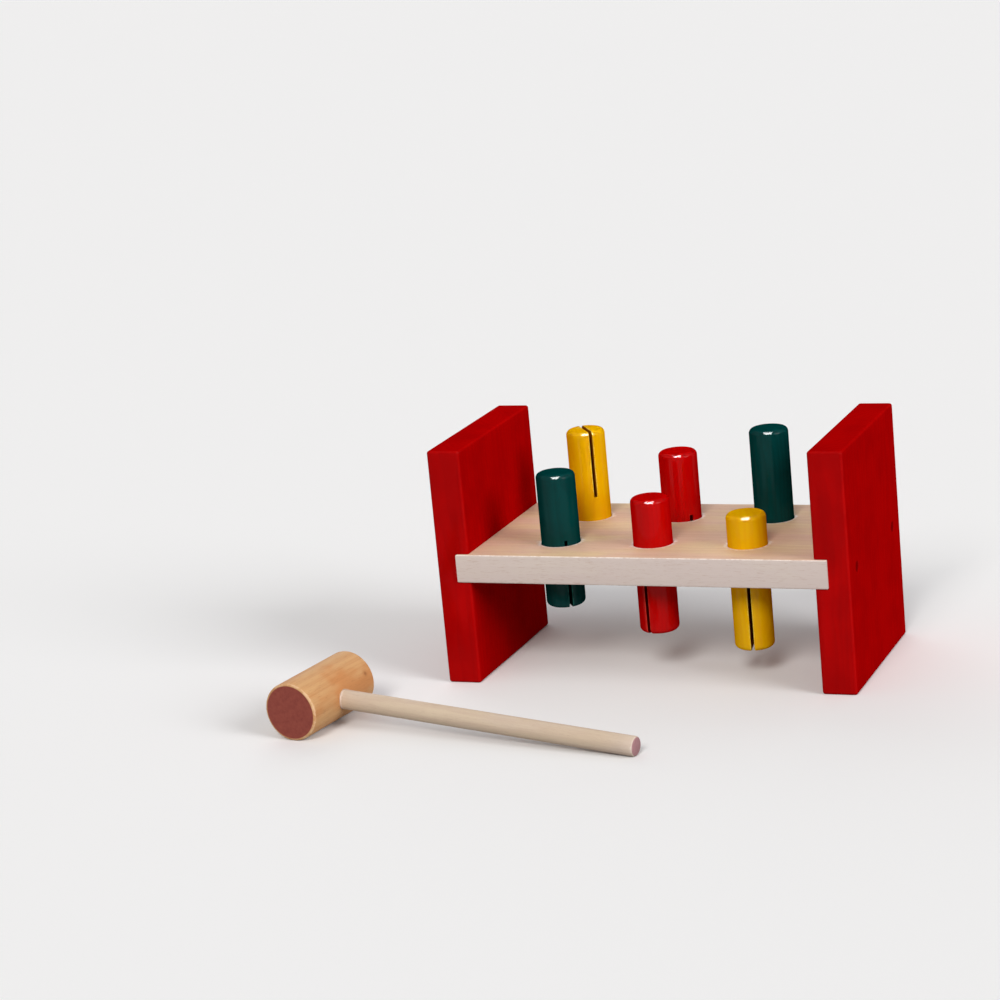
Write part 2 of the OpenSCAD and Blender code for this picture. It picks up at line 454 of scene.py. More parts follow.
# %% [markdown]
# The end of a peg curves in along a quarter circle: its radius falls by one minus the cosine, and its height
# rises by the sine. Every stack is drawn with the cut at the top, and a peg that is sawn from below is turned
# over. The two halves differ only by half a turn, so one is the other with x and y negated.

# %% Stacks of a peg
PEG_ROUND = 2.6 * MM
END_POINTS = 9
PEG_STEP = 3 * MM
# how far from the saw cut's edges the pale edge colour reaches: paint rubbed thin and a painted highlight
CUT_RUB_AND_LIGHT = 0.9 * MM
RIM_WEAR = 0.5
MOUTH_ROWS = 2


def rounded_end(length):
    """Radii and heights from the start of the rounding to the flat end."""
    angle = np.radians(np.linspace(0, 90, END_POINTS))
    return peg_radius - PEG_ROUND * (1 - np.cos(angle)), length - PEG_ROUND * (1 - np.sin(angle))


def sawn_half(length, floor):
    """D outlines stacked over the cut's floor, marked for pale edges with painted highlight and painted shade
    inside.
    """
    end_radius, end_height = rounded_end(length)
    rise = spaced(floor, length - PEG_ROUND, PEG_STEP)[:-1]
    z = np.concatenate([rise, end_height])
    radius = np.concatenate([np.full(len(rise), peg_radius), end_radius])
    gap = SAW_CUT / 2 + np.clip(z - (length - CUT_ARRIS), 0, None)
    section = np.concatenate([half_arc(radius, gap), half_wall(radius, gap)], 1)
    by_wall = nearness(np.abs(section[..., 0]) - SAW_CUT / 2, CUT_RUB_AND_LIGHT)
    by_side = nearness(peg_radius - np.linalg.norm(section, axis=-1), PEG_ROUND)
    by_rim = nearness(length - z, EDGE_REACH)[:, None] * by_side
    # the inside of the cut is marked for painted shade
    column = np.arange(ARC_POINTS + WALL_POINTS)
    in_wall = (column > ARC_POINTS) & (column < len(column) - 1)
    in_cut = in_wall * (np.arange(len(z)) < len(z) - MOUTH_ROWS)[:, None]
    return lifted(section, z), np.maximum(by_wall, RIM_WEAR * by_rim), in_cut


def peg_trunk(length, floor, half):
    """A stack of round outlines from the whole end up to the floor of the cut, on the points of both arcs."""
    end_radius, end_height = rounded_end(length)
    z = np.concatenate([(length - end_height)[::-1], spaced(PEG_ROUND, floor, PEG_STEP)[1:]])
    radius = np.concatenate([end_radius[::-1], np.full(len(z) - len(end_radius), peg_radius)])
    one_arc = half[0, :ARC_POINTS, :2]
    outline = np.concatenate([one_arc, -one_arc]) * (radius / peg_radius)[:, None, None]
    return lifted(outline, z), RIM_WEAR * nearness(z, EDGE_REACH)[:, None]


# %% Make the pegs
PEG_CUTS = {
    # which end is sawn, how long the cut is as a share of the peg, which way it runs in degrees
    "front_left_peg": ("lower", 0.51, -54), "front_middle_peg": ("lower", 0.53, -106),
    "front_right_peg": ("lower", 0.57, -80), "back_left_peg": ("upper", 0.50, -54),
    "back_middle_peg": ("lower", 0.53, -43), "back_right_peg": ("lower", 0.51, 10),
}


def make_peg(name):
    """Two D-shaped stacks over the cut's floor, a round stack from there to the other end, and the floor."""
    end, cut_share, angle = PEG_CUTS[name]
    low, high = peg_boxes[name]
    length = high[2] - low[2]
    floor = length * (1 - cut_share)
    half, half_edge, in_cut = sawn_half(length, floor)
    trunk, trunk_edge = peg_trunk(length, floor, half)
    rim_columns = np.r_[ARC_POINTS - 1:ARC_POINTS + WALL_POINTS, 0]
    rim = half[0][rim_columns]
    parts = [half, half * [-1, -1, 1], trunk, np.stack([rim, rim * [-1, 1, 1]])]
    if end == "lower":
        parts = [part * [1, 1, -1] + [0, 0, length] for part in parts]
    turn_by = math.radians(angle - 90)
    cosine, sine = math.cos(turn_by), math.sin(turn_by)
    spin = np.array([[cosine, sine, 0], [-sine, cosine, 0], [0, 0, 1]])
    place = np.array([*(low + high)[:2] / 2, low[2]])
    half, other, trunk, cut_floor = [part @ spin + place for part in parts]
    return skin(name.replace("_peg", "_painted_peg"), [
        patch(half, closed=True, ends="last", edge=half_edge, recess=in_cut),
        patch(other, closed=True, ends="last", edge=half_edge, recess=in_cut),
        patch(trunk, closed=True, ends="first", edge=trunk_edge),
        patch(cut_floor, recess=in_cut[0, rim_columns])])


pegs = {name: make_peg(name) for name in PEGS}

# %% [markdown]
# ## Mallet
#
# The mallet is turned beech: a cylinder with small chamfers, and a dowel handle glued into a blind hole in
# its side. The handle's own points give its direction, as the line along which they spread most. The head
# lies level, across the handle. Both are drawn in the mallet's own frame, with x along the handle and y along
# the head, and then turned and moved into place.

# %% The mallet's own frame
def mesh_points(node):
    """Every point of a node's mesh, one row per point."""
    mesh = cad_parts[node].data
    flat = np.empty(len(mesh.vertices) * 3, np.float32)
    mesh.vertices.foreach_get("co", flat)
    return flat.reshape(-1, 3).astype(float)


handle_points = mesh_points("mallet_handle")
spread = np.linalg.svd(handle_points - handle_points.mean(0), full_matrices=False)[2][0]
along = spread * np.sign(spread[0])
across = np.cross([0, 0, 1], along)
across /= np.linalg.norm(across)
mallet_axes = np.stack([along, across, np.cross(along, across)])
head_centre = corners("mallet_head").mean(0)
head_local = (mesh_points("mallet_head") - head_centre) @ mallet_axes.T
handle_local = (handle_points - head_centre) @ mallet_axes.T
HEAD_RADIUS = head_local[:, 2].max()
HEAD_HALF = head_local[:, 1].max()
HANDLE_RADIUS = handle_local[:, 1].max()
HANDLE_SPAN = (handle_local[:, 0].min(), handle_local[:, 0].max())
print("mallet in mm: head", round(2 * HEAD_RADIUS / MM, 1), "by", round(2 * HEAD_HALF / MM, 1),
      "handle", round(2 * HANDLE_RADIUS / MM, 1), "to", round(HANDLE_SPAN[1] / MM, 1))

# %% [markdown]
# The head's side is the plank's cell again, bent round a cylinder: the flat way round becomes an angle. Its
# hole follows the true crossing of two cylinders, where the angle is the arcsine of the hole's height over
# the head's radius. The rest of the side is a plain grid with the same rows, and each face is a set of
# shrinking rings.

# %% The head's side and faces
HEAD_CHAMFER = 1.1 * MM
GLUE_GAP = 0.05 * MM
BORE_EASE = 0.35 * MM
BORE_PALE_REACH = 0.8 * MM
HEAD_CELL = math.radians(62)
HEAD_RINGS = 10
END_GRAIN_INSET = 0.25 * MM
# how far out and how far back each ring lies from the flat face's edge, in chamfers, and its end grain
CHAMFER_RINGS = ((1, 1, 0), (0.92, 0.65, 0), (0.35, 0.08, 0), (0, 0, 0.15))
FACE_SHARES = (0.66, 0.33, 0)


def on_head(around, y, depth=0.0):
    """Point of the head's side: radius times cosine and sine of the way round, less a depth along x."""
    return joined(HEAD_RADIUS * np.cos(around) - depth, y, HEAD_RADIUS * np.sin(around))


def head_cell(side_y):
    """Rings from a rectangle on the unrolled side to the hole's mouth, over its ease and to the bottom."""
    flat = loop_round(divided((-side_y, side_y)), divided((-HEAD_CELL, HEAD_CELL)))
    angle = np.arctan2(flat[:, 1] * HEAD_RADIUS, flat[:, 0])
    share, widen, drop = mouth_section(HEAD_RINGS, BORE_EASE)
    bore = HANDLE_RADIUS + GLUE_GAP + widen[:, None]
    rim_y, rim_z = bore * np.cos(angle), bore * np.sin(angle)
    y = flat[:, 0] + share[:, None] * (rim_y - flat[:, 0])
    around = flat[:, 1] + share[:, None] * (np.arcsin(rim_z / HEAD_RADIUS) - flat[:, 1])
    mouth = on_head(around, y, drop[:, None])
    reach = np.hypot(y, HEAD_RADIUS * around) - HANDLE_RADIUS
    bottom = np.concatenate([mouth[-1:], mouth[-1:], 0 * mouth[-1:]])
    bottom[1:, :, 0] = HANDLE_SPAN[0] - GLUE_GAP
    return [patch(mouth, closed=True, edge=nearness(reach, BORE_PALE_REACH)), patch(bottom, closed=True)]


def head_end(side, ring):
    """Rings over the chamfer and in to the middle of the face: radius times cosine and sine, at a height."""
    face = HEAD_RADIUS - HEAD_CHAMFER
    rings = [(face + out * HEAD_CHAMFER, HEAD_HALF - back * HEAD_CHAMFER, grain)
             for out, back, grain in CHAMFER_RINGS]
    rings.append((face - END_GRAIN_INSET, HEAD_HALF, 1))
    rings += [(share * face, HEAD_HALF, 1) for share in FACE_SHARES]
    radius, y, end_grain = np.array(rings).T[:, :, None]
    on_chamfer = radius > face - HEAD_CHAMFER / 2
    # the chamfer's edge mark gives a pale ring: rubbed wood and a painted highlight
    edge = nearness(HEAD_HALF - HEAD_CHAMFER / 2 - y, HEAD_CHAMFER) * on_chamfer
    points = joined(radius * np.cos(ring), side * y, radius * np.sin(ring))
    return patch(points, closed=True, edge=edge, end_grain=end_grain)


# %% Make the head
def mallet_head():
    """The side's cell, the rest of the side and both ends, turned into place."""
    side_y = HEAD_HALF - HEAD_CHAMFER
    rest = np.linspace(HEAD_CELL, 2 * math.pi - HEAD_CELL, 3 * CELL_POINTS)
    ring = np.concatenate([divided((-HEAD_CELL, HEAD_CELL))[:-1], rest[:-1]])
    parts = head_cell(side_y) + [patch(on_head(rest[:, None], divided((-side_y, side_y))))]
    parts += [head_end(side, ring) for side in (-1, 1)]
    for part in parts:
        part["points"] = part["points"] @ mallet_axes + head_centre
    return skin("turned_head", parts)


head = mallet_head()

# %% [markdown]
# The handle is a plain turned dowel, so a profile of radius and distance is spun round its axis. Its ends are
# chamfered, and the end grain's colour reaches out to the middle of the chamfer; past it, the pale edge
# colour is also a painted highlight. Extra rings sit where the handle leaves the head, and the edge mark
# makes a pale ring there.

# %% The handle
HANDLE_CHAMFER = 1.0 * MM
HANDLE_SIDES = 72
HANDLE_STEP = 6 * MM
RING_STEP = 0.8 * MM
RING_REACH = 4 * MM
# how far out and how far back each ring of an end lies from the flat face's edge, in chamfers
END_RINGS = ((0, 0), (0.4, 0.2), (0.7, 0.5))


def turned_handle():
    """Radius times cosine and sine of an angle, for each distance along the handle."""
    start, stop = HANDLE_SPAN
    lengthwise = spaced(start + HANDLE_CHAMFER, stop - HANDLE_CHAMFER, HANDLE_STEP, RING_STEP, [HEAD_RADIUS],
                        RING_REACH)
    face = HANDLE_RADIUS - HANDLE_CHAMFER
    near = [(face + out * HANDLE_CHAMFER, start + back * HANDLE_CHAMFER) for out, back in END_RINGS]
    near.insert(0, (0, start))
    far = [(radius, start + stop - x) for radius, x in near[::-1]]
    profile = np.array(near + [(HANDLE_RADIUS, x) for x in lengthwise] + far)
    radius, x = profile.T[:, :, None]
    angle = np.linspace(0, 2 * math.pi, HANDLE_SIDES, endpoint=False)
    points = joined(x, radius * np.cos(angle), radius * np.sin(angle))
    end_grain = (radius < HANDLE_RADIUS - HANDLE_CHAMFER / 2).astype(float)
    # distance to the handle's ends and to the head, where the pale rings are painted
    rub_and_light = np.minimum(np.minimum(x - start, stop - x), np.abs(x - HEAD_RADIUS))
    edge = nearness(rub_and_light, EDGE_REACH) * (1 - end_grain)
    return skin("dowel_handle", [patch(points @ mallet_axes + head_centre, closed=True, edge=edge,
                                       end_grain=end_grain)])


handle = turned_handle()

# %% [markdown]
# ## Shader helpers
#
# A material is a graph of nodes. Building it node by node in code gets long, so one helper adds a node, fills
# its sockets with numbers or with other nodes' outputs, and returns it. Colours are chosen on the usual 0 to
# 255 scale of a colour picker, and made linear, because shaders count light and not screen values.

# %% Colours and nodes
def linear(colour):
    """Screen colour as linear light: (c + 0.055) / 1.055 to the power 2.4, or c / 12.92 near black."""
    share = np.array(colour) / 255
    light = np.where(share <= 0.04045, share / 12.92, ((share + 0.055) / 1.055) ** 2.4)
    return (*light.tolist(), 1.0)


def palette(**colours):
    """Linear colours by the name of what they are for."""
    return {part: linear(colour) for part, colour in colours.items()}


def add(tree, kind, sockets=None, **fields):
    """Adds a node, sets its fields, and fills its sockets with values or with links from other nodes."""
    made = tree.nodes.new(kind)
    for field, value in fields.items():
        setattr(made, field, value)
    for socket, value in (sockets or {}).items():
        if isinstance(value, bpy.types.NodeSocket):
            tree.links.new(value, made.inputs[socket])
        else:
            made.inputs[socket].default_value = value
    return made


def vectors(tree, operation, first, second=(0, 0, 0), output="Vector"):
    """Output of a Vector Math node. SCALE takes its factor as the second value."""
    other = "Scale" if operation == "SCALE" else 1
    return add(tree, "ShaderNodeVectorMath", {0: first, other: second}, operation=operation).outputs[output]


# %% [markdown]
# Most of what the finishes need is a product, a sum of shares, a stretched noise, a cut-off with a soft edge,
# or a stack of colours laid over each other. Each of these is one call. Further down, a value named SCALE is
# a noise's bumps per millimetre, and one named CUT says where a mask starts and where it is full.

# %% Sums, noises and layers
def maths(tree, operation, *values):
    """Output of a Math node over up to three values."""
    return add(tree, "ShaderNodeMath", dict(enumerate(values)), operation=operation).outputs[0]


def product(tree, first, *others):
    """All values multiplied."""
    for other in others:
        first = maths(tree, "MULTIPLY", first, other)
    return first


def summed(tree, base, *terms):
    """The base plus each value times its factor."""
    for value, factor in terms:
        base = maths(tree, "MULTIPLY_ADD", value, factor, base)
    return base


def noise(tree, vector, scale, detail=2.0, roughness=0.5):
    """Height of a noise texture, about one half on average. A scale of three numbers stretches it."""
    if isinstance(scale, tuple):
        vector, scale = vectors(tree, "MULTIPLY", vector, scale), 1.0
    sockets = {"Vector": vector, "Scale": scale, "Detail": detail, "Roughness": roughness}
    return add(tree, "ShaderNodeTexNoise", sockets).outputs["Fac"]


def ramp(tree, value, low, high):
    """Zero at low and one at high, with a smooth step between them."""
    sockets = {"Value": value, "From Min": low, "From Max": high}
    return add(tree, "ShaderNodeMapRange", sockets, interpolation_type="SMOOTHSTEP").outputs["Result"]


def layered(tree, shade, *layers):
    """A shade with colours laid over it one after another, each by its own share."""
    for share, colour in layers:
        shade = add(tree, "ShaderNodeMix", {0: share, 6: shade, 7: colour}, data_type="RGBA").outputs[2]
    return shade


# %% Node groups
VALUE, VECTOR = "NodeSocketFloat", "NodeSocketVector"


def new_group(name, **inputs):
    """An empty node group with named inputs. Returns its tree and their sockets."""
    tree = bpy.data.node_groups.new(name, "ShaderNodeTree")
    for socket, kind in inputs.items():
        tree.interface.new_socket(socket, in_out="INPUT", socket_type=kind)
    return tree, tree.nodes.new("NodeGroupInput").outputs


def finish_group(tree, **values):
    """Gives a group one named output for each value."""
    for socket in values:
        tree.interface.new_socket(socket, in_out="OUTPUT", socket_type=VALUE)
    outputs = tree.nodes.new("NodeGroupOutput").inputs
    for socket, value in values.items():
        tree.links.new(value, outputs[socket])
    print("group:", tree.name, len(tree.nodes), "nodes")
    return tree


def use_group(tree, group, sockets):
    """Places a group in a material with its own values, and returns its outputs."""
    return add(tree, "ShaderNodeGroup", sockets, node_tree=group).outputs


# %% [markdown]
# ## Wood figure
#
# Wood is solid: yearly rings run through a whole board, and a cut shows them as lines along the grain or as
# arcs on end grain. So the figure is a texture in space and not on the skin. Positions come in millimetres
# with x along the grain. Rings are the distance from the pith, bent by slow noise, divided by the ring width;
# the part after the point climbs through the year and drops at winter. Fibres and pores are noise drawn out
# along x.

# %% Group: wood figure
BEND_SCALE = (0.006, 0.035, 0.035)
FIBRE_SCALE = (0.03, 1, 1)
PORE_SCALE = (0.22, 3.2, 3.2)
ACROSS_GRAIN = (0, 1, 1)
HALF = (0.5, 0.5, 0.5)
# shares of a year over which a ring darkens and then drops, and the heights of noise that become a pore
YEAR_CLIMB = (0.2, 0.85)
YEAR_DROP = (1.0, 0.88)
PORE_CUT = (0.62, 0.72)


def wood_figure():
    """Rings, fibres and pores as masks from 0 to 1, and the relief that they leave under a finish."""
    numbers = dict.fromkeys(("Ring Width", "Wander", "Fibre Scale"), VALUE)
    tree, given = new_group("wood figure", Position=VECTOR, **numbers)
    slow = vectors(tree, "MULTIPLY", given["Position"], BEND_SCALE)
    bend = add(tree, "ShaderNodeTexNoise", {"Vector": slow, "Scale": 1.0, "Detail": 3.0}).outputs["Color"]
    bend = vectors(tree, "SCALE", vectors(tree, "SUBTRACT", bend, HALF), given["Wander"])
    bent = vectors(tree, "ADD", given["Position"], bend)
    from_pith = vectors(tree, "LENGTH", vectors(tree, "MULTIPLY", bent, ACROSS_GRAIN), output="Value")
    year = maths(tree, "FRACT", maths(tree, "DIVIDE", from_pith, given["Ring Width"]))
    rings = product(tree, ramp(tree, year, *YEAR_CLIMB), ramp(tree, year, *YEAR_DROP))
    place = vectors(tree, "SCALE", given["Position"], given["Fibre Scale"])
    fibre = noise(tree, place, FIBRE_SCALE, detail=4.0, roughness=0.6)
    pores = ramp(tree, noise(tree, place, PORE_SCALE, detail=1.0), *PORE_CUT)
    relief = summed(tree, fibre, (rings, 0.35), (pores, -0.5))
    return finish_group(tree, Rings=rings, Fibre=fibre, Pores=pores, Height=relief)


figure_group = wood_figure()

# %% [markdown]
# ## Handling
#
# A toy that has been in a box and in hands has faint scuffs and tiny dents. Scuffs are noise stretched along
# two slanted directions and cut off high, so only a few thin lines are left. Dents are the middles of Voronoi
# cells, kept only where a second, coarser noise is high. Both are heights, and scuffs also dull the gloss.

# %% Group: handling
SCUFF_AXIS = (0.5, 0.3, 1.0)
SCUFF_STRETCH = 0.07
# turn in radians and lines per millimetre of each set of scuffs
SCUFF_SETS = ((0.7, 1.3), (2.3, 1.1))
SCUFF_CUT = (0.66, 0.76)
# scuffs and dents are kept only in some places, where a coarser noise passes a cut of its own
SCUFFED_SCALE, SCUFFED_CUT = 0.05, (0.42, 0.62)
DENT_SCALE, DENT_CUT = 0.11, (0.16, 0.02)
DENTED_SCALE, DENTED_CUT = 0.08, (0.52, 0.6)


def slanted_scuffs(tree, vector, angle, width):
    """Thin lines along one slanted direction."""
    sockets = {"Vector": vector, "Angle": angle, "Axis": SCUFF_AXIS}
    turned = add(tree, "ShaderNodeVectorRotate", sockets, rotation_type="AXIS_ANGLE").outputs[0]
    return ramp(tree, noise(tree, turned, (SCUFF_STRETCH, width, width), roughness=0.6), *SCUFF_CUT)


def handling():
    """Scuffs as a mask, and the depth of scuffs and dents as a height below zero."""
    tree, given = new_group("handling marks", Position=VECTOR, Amount=VALUE)
    first, second = [slanted_scuffs(tree, given["Position"], angle, width) for angle, width in SCUFF_SETS]
    where = ramp(tree, noise(tree, given["Position"], SCUFFED_SCALE), *SCUFFED_CUT)
    scuffs = product(tree, maths(tree, "MAXIMUM", first, second), where, given["Amount"])
    cells = add(tree, "ShaderNodeTexVoronoi", {"Vector": given["Position"], "Scale": DENT_SCALE})
    kept = ramp(tree, noise(tree, given["Position"], DENTED_SCALE, detail=1.0), *DENTED_CUT)
    dents = product(tree, ramp(tree, cells.outputs["Distance"], *DENT_CUT), kept)
    depth = product(tree, summed(tree, dents, (scuffs, 0.3)), given["Amount"], -1.0)
    return finish_group(tree, Scuffs=scuffs, Height=depth)


handling_group = handling()

# %% [markdown]
# ## Edge wear and painted edge highlight
#
# Paint is thinnest on an edge, and hands and other toys rub it there first. The pieces carry how near each
# point is to an edge. Adding noise to that mark and cutting it off gives a broken line that hugs the edge.
# The same mask shows rubbed paint on the boards and pegs, and polished wood on the plank and mallet. Along
# the pegs' saw cuts and the plank's and mallet's arrises and chamfers, its pale colour is also a painted
# highlight.

# %% Group: edge wear and painted highlight
WEAR_SCALE, WEAR_CUT = 0.35, (0.98, 1.32)


def edge_wear_and_light():
    """A mask that is one along edges, where hands rub paint and wood, and where a highlight is painted."""
    tree, given = new_group("edge wear", Edge=VALUE, Position=VECTOR, Amount=VALUE)
    patchy = noise(tree, given["Position"], WEAR_SCALE, detail=4.0, roughness=0.65)
    rub_and_light = ramp(tree, summed(tree, patchy, (given["Edge"], 0.75)), *WEAR_CUT)
    return finish_group(tree, Mask=product(tree, rub_and_light, given["Amount"]))


wear_and_light_group = edge_wear_and_light()

# %% [markdown]
# ## Starting and finishing a material
#
# Object coordinates are metres in the shared frame. A Mapping node of the Texture kind moves them to a chosen
# pith, turns x along the grain and divides by a millimetre, so every group sees the same units. The pith lies
# outside each piece, as in stock sawn from a large log, so its rings are long flat arcs.

# %% Start and finish a material
finishes = {}


def start_material(name, pith, grain_turn):
    """A material's node tree, the position in millimetres along the grain, and the piece's marks by name."""
    finishes[name] = bpy.data.materials.new(name)
    finishes[name].use_nodes = True
    tree = finishes[name].node_tree
    place = tree.nodes.new("ShaderNodeTexCoord").outputs["Object"]
    mapping = {"Vector": place, "Location": pith, "Rotation": grain_turn, "Scale": (MM, MM, MM)}
    place = add(tree, "ShaderNodeMapping", mapping, vector_type="TEXTURE").outputs[0]
    mark = {key: add(tree, "ShaderNodeAttribute", attribute_name=key).outputs["Fac"] for key in MARKS}
    return tree, place, mark


def bumped(tree, *layers):
    """Normal of a surface under several layers of relief, each a height and the distance it stands for."""
    under = {}
    for height, distance in layers:
        relief = {"Height": height, "Distance": distance, "Strength": 1.0}
        under = {"Normal": add(tree, "ShaderNodeBump", {**relief, **under}).outputs["Normal"]}
    return under["Normal"]


def finish_material(name, tree, shade, roughness, normal, specular):
    """Links colour, roughness and normal to the shader, and sets how strongly its bare surface reflects."""
    shader = tree.nodes["Principled BSDF"]
    for socket, value in {"Base Color": shade, "Roughness": roughness, "Normal": normal}.items():
        tree.links.new(value, shader.inputs[socket])
    shader.inputs["Specular IOR Level"].default_value = specular
    print("finish:", name, len(tree.nodes), "nodes")
    return shader


# %% [markdown]
# ## Paint
#
# The boards and pegs are dipped or sprayed in gloss enamel. It is not a flat colour: it is thinner and warmer
# where it drew back from an edge, a little deeper where it pooled, and the wood's fibres still show through
# as fine lines in its gloss. On the pegs' saw-cut edges the pale edge colour is also a painted highlight.
# Pegs are glossier than boards, whose coat is thinner and rougher. The coat fades where the surface turns
# away from the eye: a full one would haze tops and outlines with the pale room's reflection, and drown the
# small bright spots on the pegs' rims. In a recess there is no gloss, and the paint takes a dark colour as
# painted shade. The same function makes all paints, with the colours and the strength of each effect as
# values.

# %% Paint material
UPRIGHT = (0, math.radians(-90), 0)
UNDER_PAINT = {"Ring Width": 3.4, "Wander": 26.0, "Fibre Scale": 1.1}
PAINT_HANDLING = 0.6
POOL_SCALE, POOL_CUT, POOL_SHARE = 0.045, (0.35, 0.7), 0.45
FIBRE_SHARE = 0.5
PAINT_ROUGHNESS = 0.55
DULL_SCALE = 0.2
PEEL_SCALE, PEEL_DEPTH = 0.9, 0.03 * MM
PAINT_DENT = 0.12 * MM
# Facing runs from 0 towards the eye to 1 side on. A coat is gone at the first value and full at the second
COAT_FADE = (0.6, 0.2)
SCUFF_DULLING = 0.6


def paint(name, colours, coat, coat_roughness, wear, telegraph, pith=(0, 0, 0)):
    """Enamel over upright wood: noise and fibres vary it, edges pale and partly painted highlight, recesses
    painted shade.
    """
    tree, place, mark = start_material(name, pith, UPRIGHT)
    wood = use_group(tree, figure_group, {"Position": place, **UNDER_PAINT})
    marks = use_group(tree, handling_group, {"Position": place, "Amount": PAINT_HANDLING})
    worn_and_lit = use_group(tree, wear_and_light_group, {"Edge": mark["edge"], "Position": place, "Amount": wear})["Mask"]
    pooled = ramp(tree, noise(tree, place, POOL_SCALE, detail=3.0, roughness=0.55), *POOL_CUT)
    # the pale edge colour is paint rubbed thin and, on the pegs' saw-cut edges, also a painted highlight; the
    # dark recess colour is painted shade
    shade = layered(
        tree, colours["full"], (product(tree, pooled, POOL_SHARE), colours["deep"]),
        (product(tree, wood["Fibre"], wood["Rings"], FIBRE_SHARE), colours["deep"]),
        (worn_and_lit, colours["thin"]), (mark["recess"], colours["shaded"]))
    dull = noise(tree, place, DULL_SCALE, detail=3.0)
    roughness = summed(tree, PAINT_ROUGHNESS, (dull, 0.14), (marks["Scuffs"], 0.22), (mark["end_grain"], 0.1))
    normal = bumped(tree, (wood["Height"], telegraph * MM), (noise(tree, place, PEEL_SCALE), PEEL_DEPTH),
                    (marks["Height"], PAINT_DENT))
    shader = finish_material(name, tree, shade, roughness, normal, specular=0.0)
    facing = add(tree, "ShaderNodeLayerWeight", {"Blend": 0.5}).outputs["Facing"]
    unscuffed = summed(tree, 1.0, (marks["Scuffs"], -SCUFF_DULLING))
    outside = summed(tree, 1.0, (mark["recess"], -1.0))
    clear = product(tree, ramp(tree, facing, *COAT_FADE), coat, unscuffed, outside)
    tree.links.new(clear, shader.inputs["Coat Weight"])
    shader.inputs["Coat Roughness"].default_value = coat_roughness


# %% The paints
PITH_BEHIND_BOARDS = 60 * MM
board_pith = ((left_board[0, 0] + right_board[1, 0]) / 2, left_board[1, 1] + PITH_BEHIND_BOARDS, 0)
PEG_GLOSS = {"coat": 0.17, "coat_roughness": 0.07, "wear": 0.8, "telegraph": 0.02}
# full is the paint and deep where it pooled; the pale edge colour is rubbed paint and partly a painted
# highlight on the pegs; the dark one is painted shade for recesses
RED = palette(full=(176, 2, 3), deep=(150, 1, 3), thin=(188, 14, 10), shaded=(70, 0, 3))
PEG_RED = palette(full=(190, 2, 2), deep=(168, 1, 2), thin=(220, 64, 50), shaded=(96, 2, 2))
GREEN = palette(full=(1, 59, 58), deep=(1, 42, 41), thin=(30, 104, 96), shaded=(1, 24, 22))
YELLOW = palette(full=(234, 178, 2), deep=(228, 152, 1), thin=(250, 216, 84), shaded=(150, 84, 4))
paint("red_paint", RED, coat=0.08, coat_roughness=0.2, wear=0.3, telegraph=0.03, pith=board_pith)
paint("red_peg_paint", PEG_RED, **PEG_GLOSS)
paint("green_paint", GREEN, **PEG_GLOSS)
paint("yellow_paint", YELLOW, **PEG_GLOSS)

# %% [markdown]
# ## Bare and varnished wood
#
# The plank and the handle are bare and pale, and the head has a thin dull varnish that turns it a warm orange
# tan. One function makes them: early wood and late wood mixed by the rings, streaks by the fibres, dark
# dashes by the pores, and a broad slow tint that no two boards share. End grain drinks more light and finish,
# so it is darker and redder. Edges and the mouths of the holes are rubbed paler, and along the plank's
# arrises and the mallet's chamfers that pale colour is also a painted highlight. A plank's planed sides
# are paler too. A knot is a small dark spot: a distance from a point inside the wood, with a ragged outline
# from the fibres.

# %% Wood material
WOOD_ROUGHNESS = 0.52
WOOD_SPECULAR = 0.15
WOOD_HANDLING = 0.5
CLOUD_SCALE = (0.012, 0.06, 0.06)
SPECK_SCALE = (0.3, 0.5, 0.5)
TINT_CUT, TINT_SHARE = (0.4, 0.62), 0.75
PLANED_SHARE = 0.8
PORE_SHARE = 0.3
GRAIN_DEPTH = 0.05 * MM
WOOD_DENT = 0.15 * MM
# outer and inner distance in millimetres over which a knot darkens, its share, and the colour it takes
KNOT_ZONES = ((4.0, 2.2, 0.5, "late"), (2.4, 1.2, 0.7, "pore"))


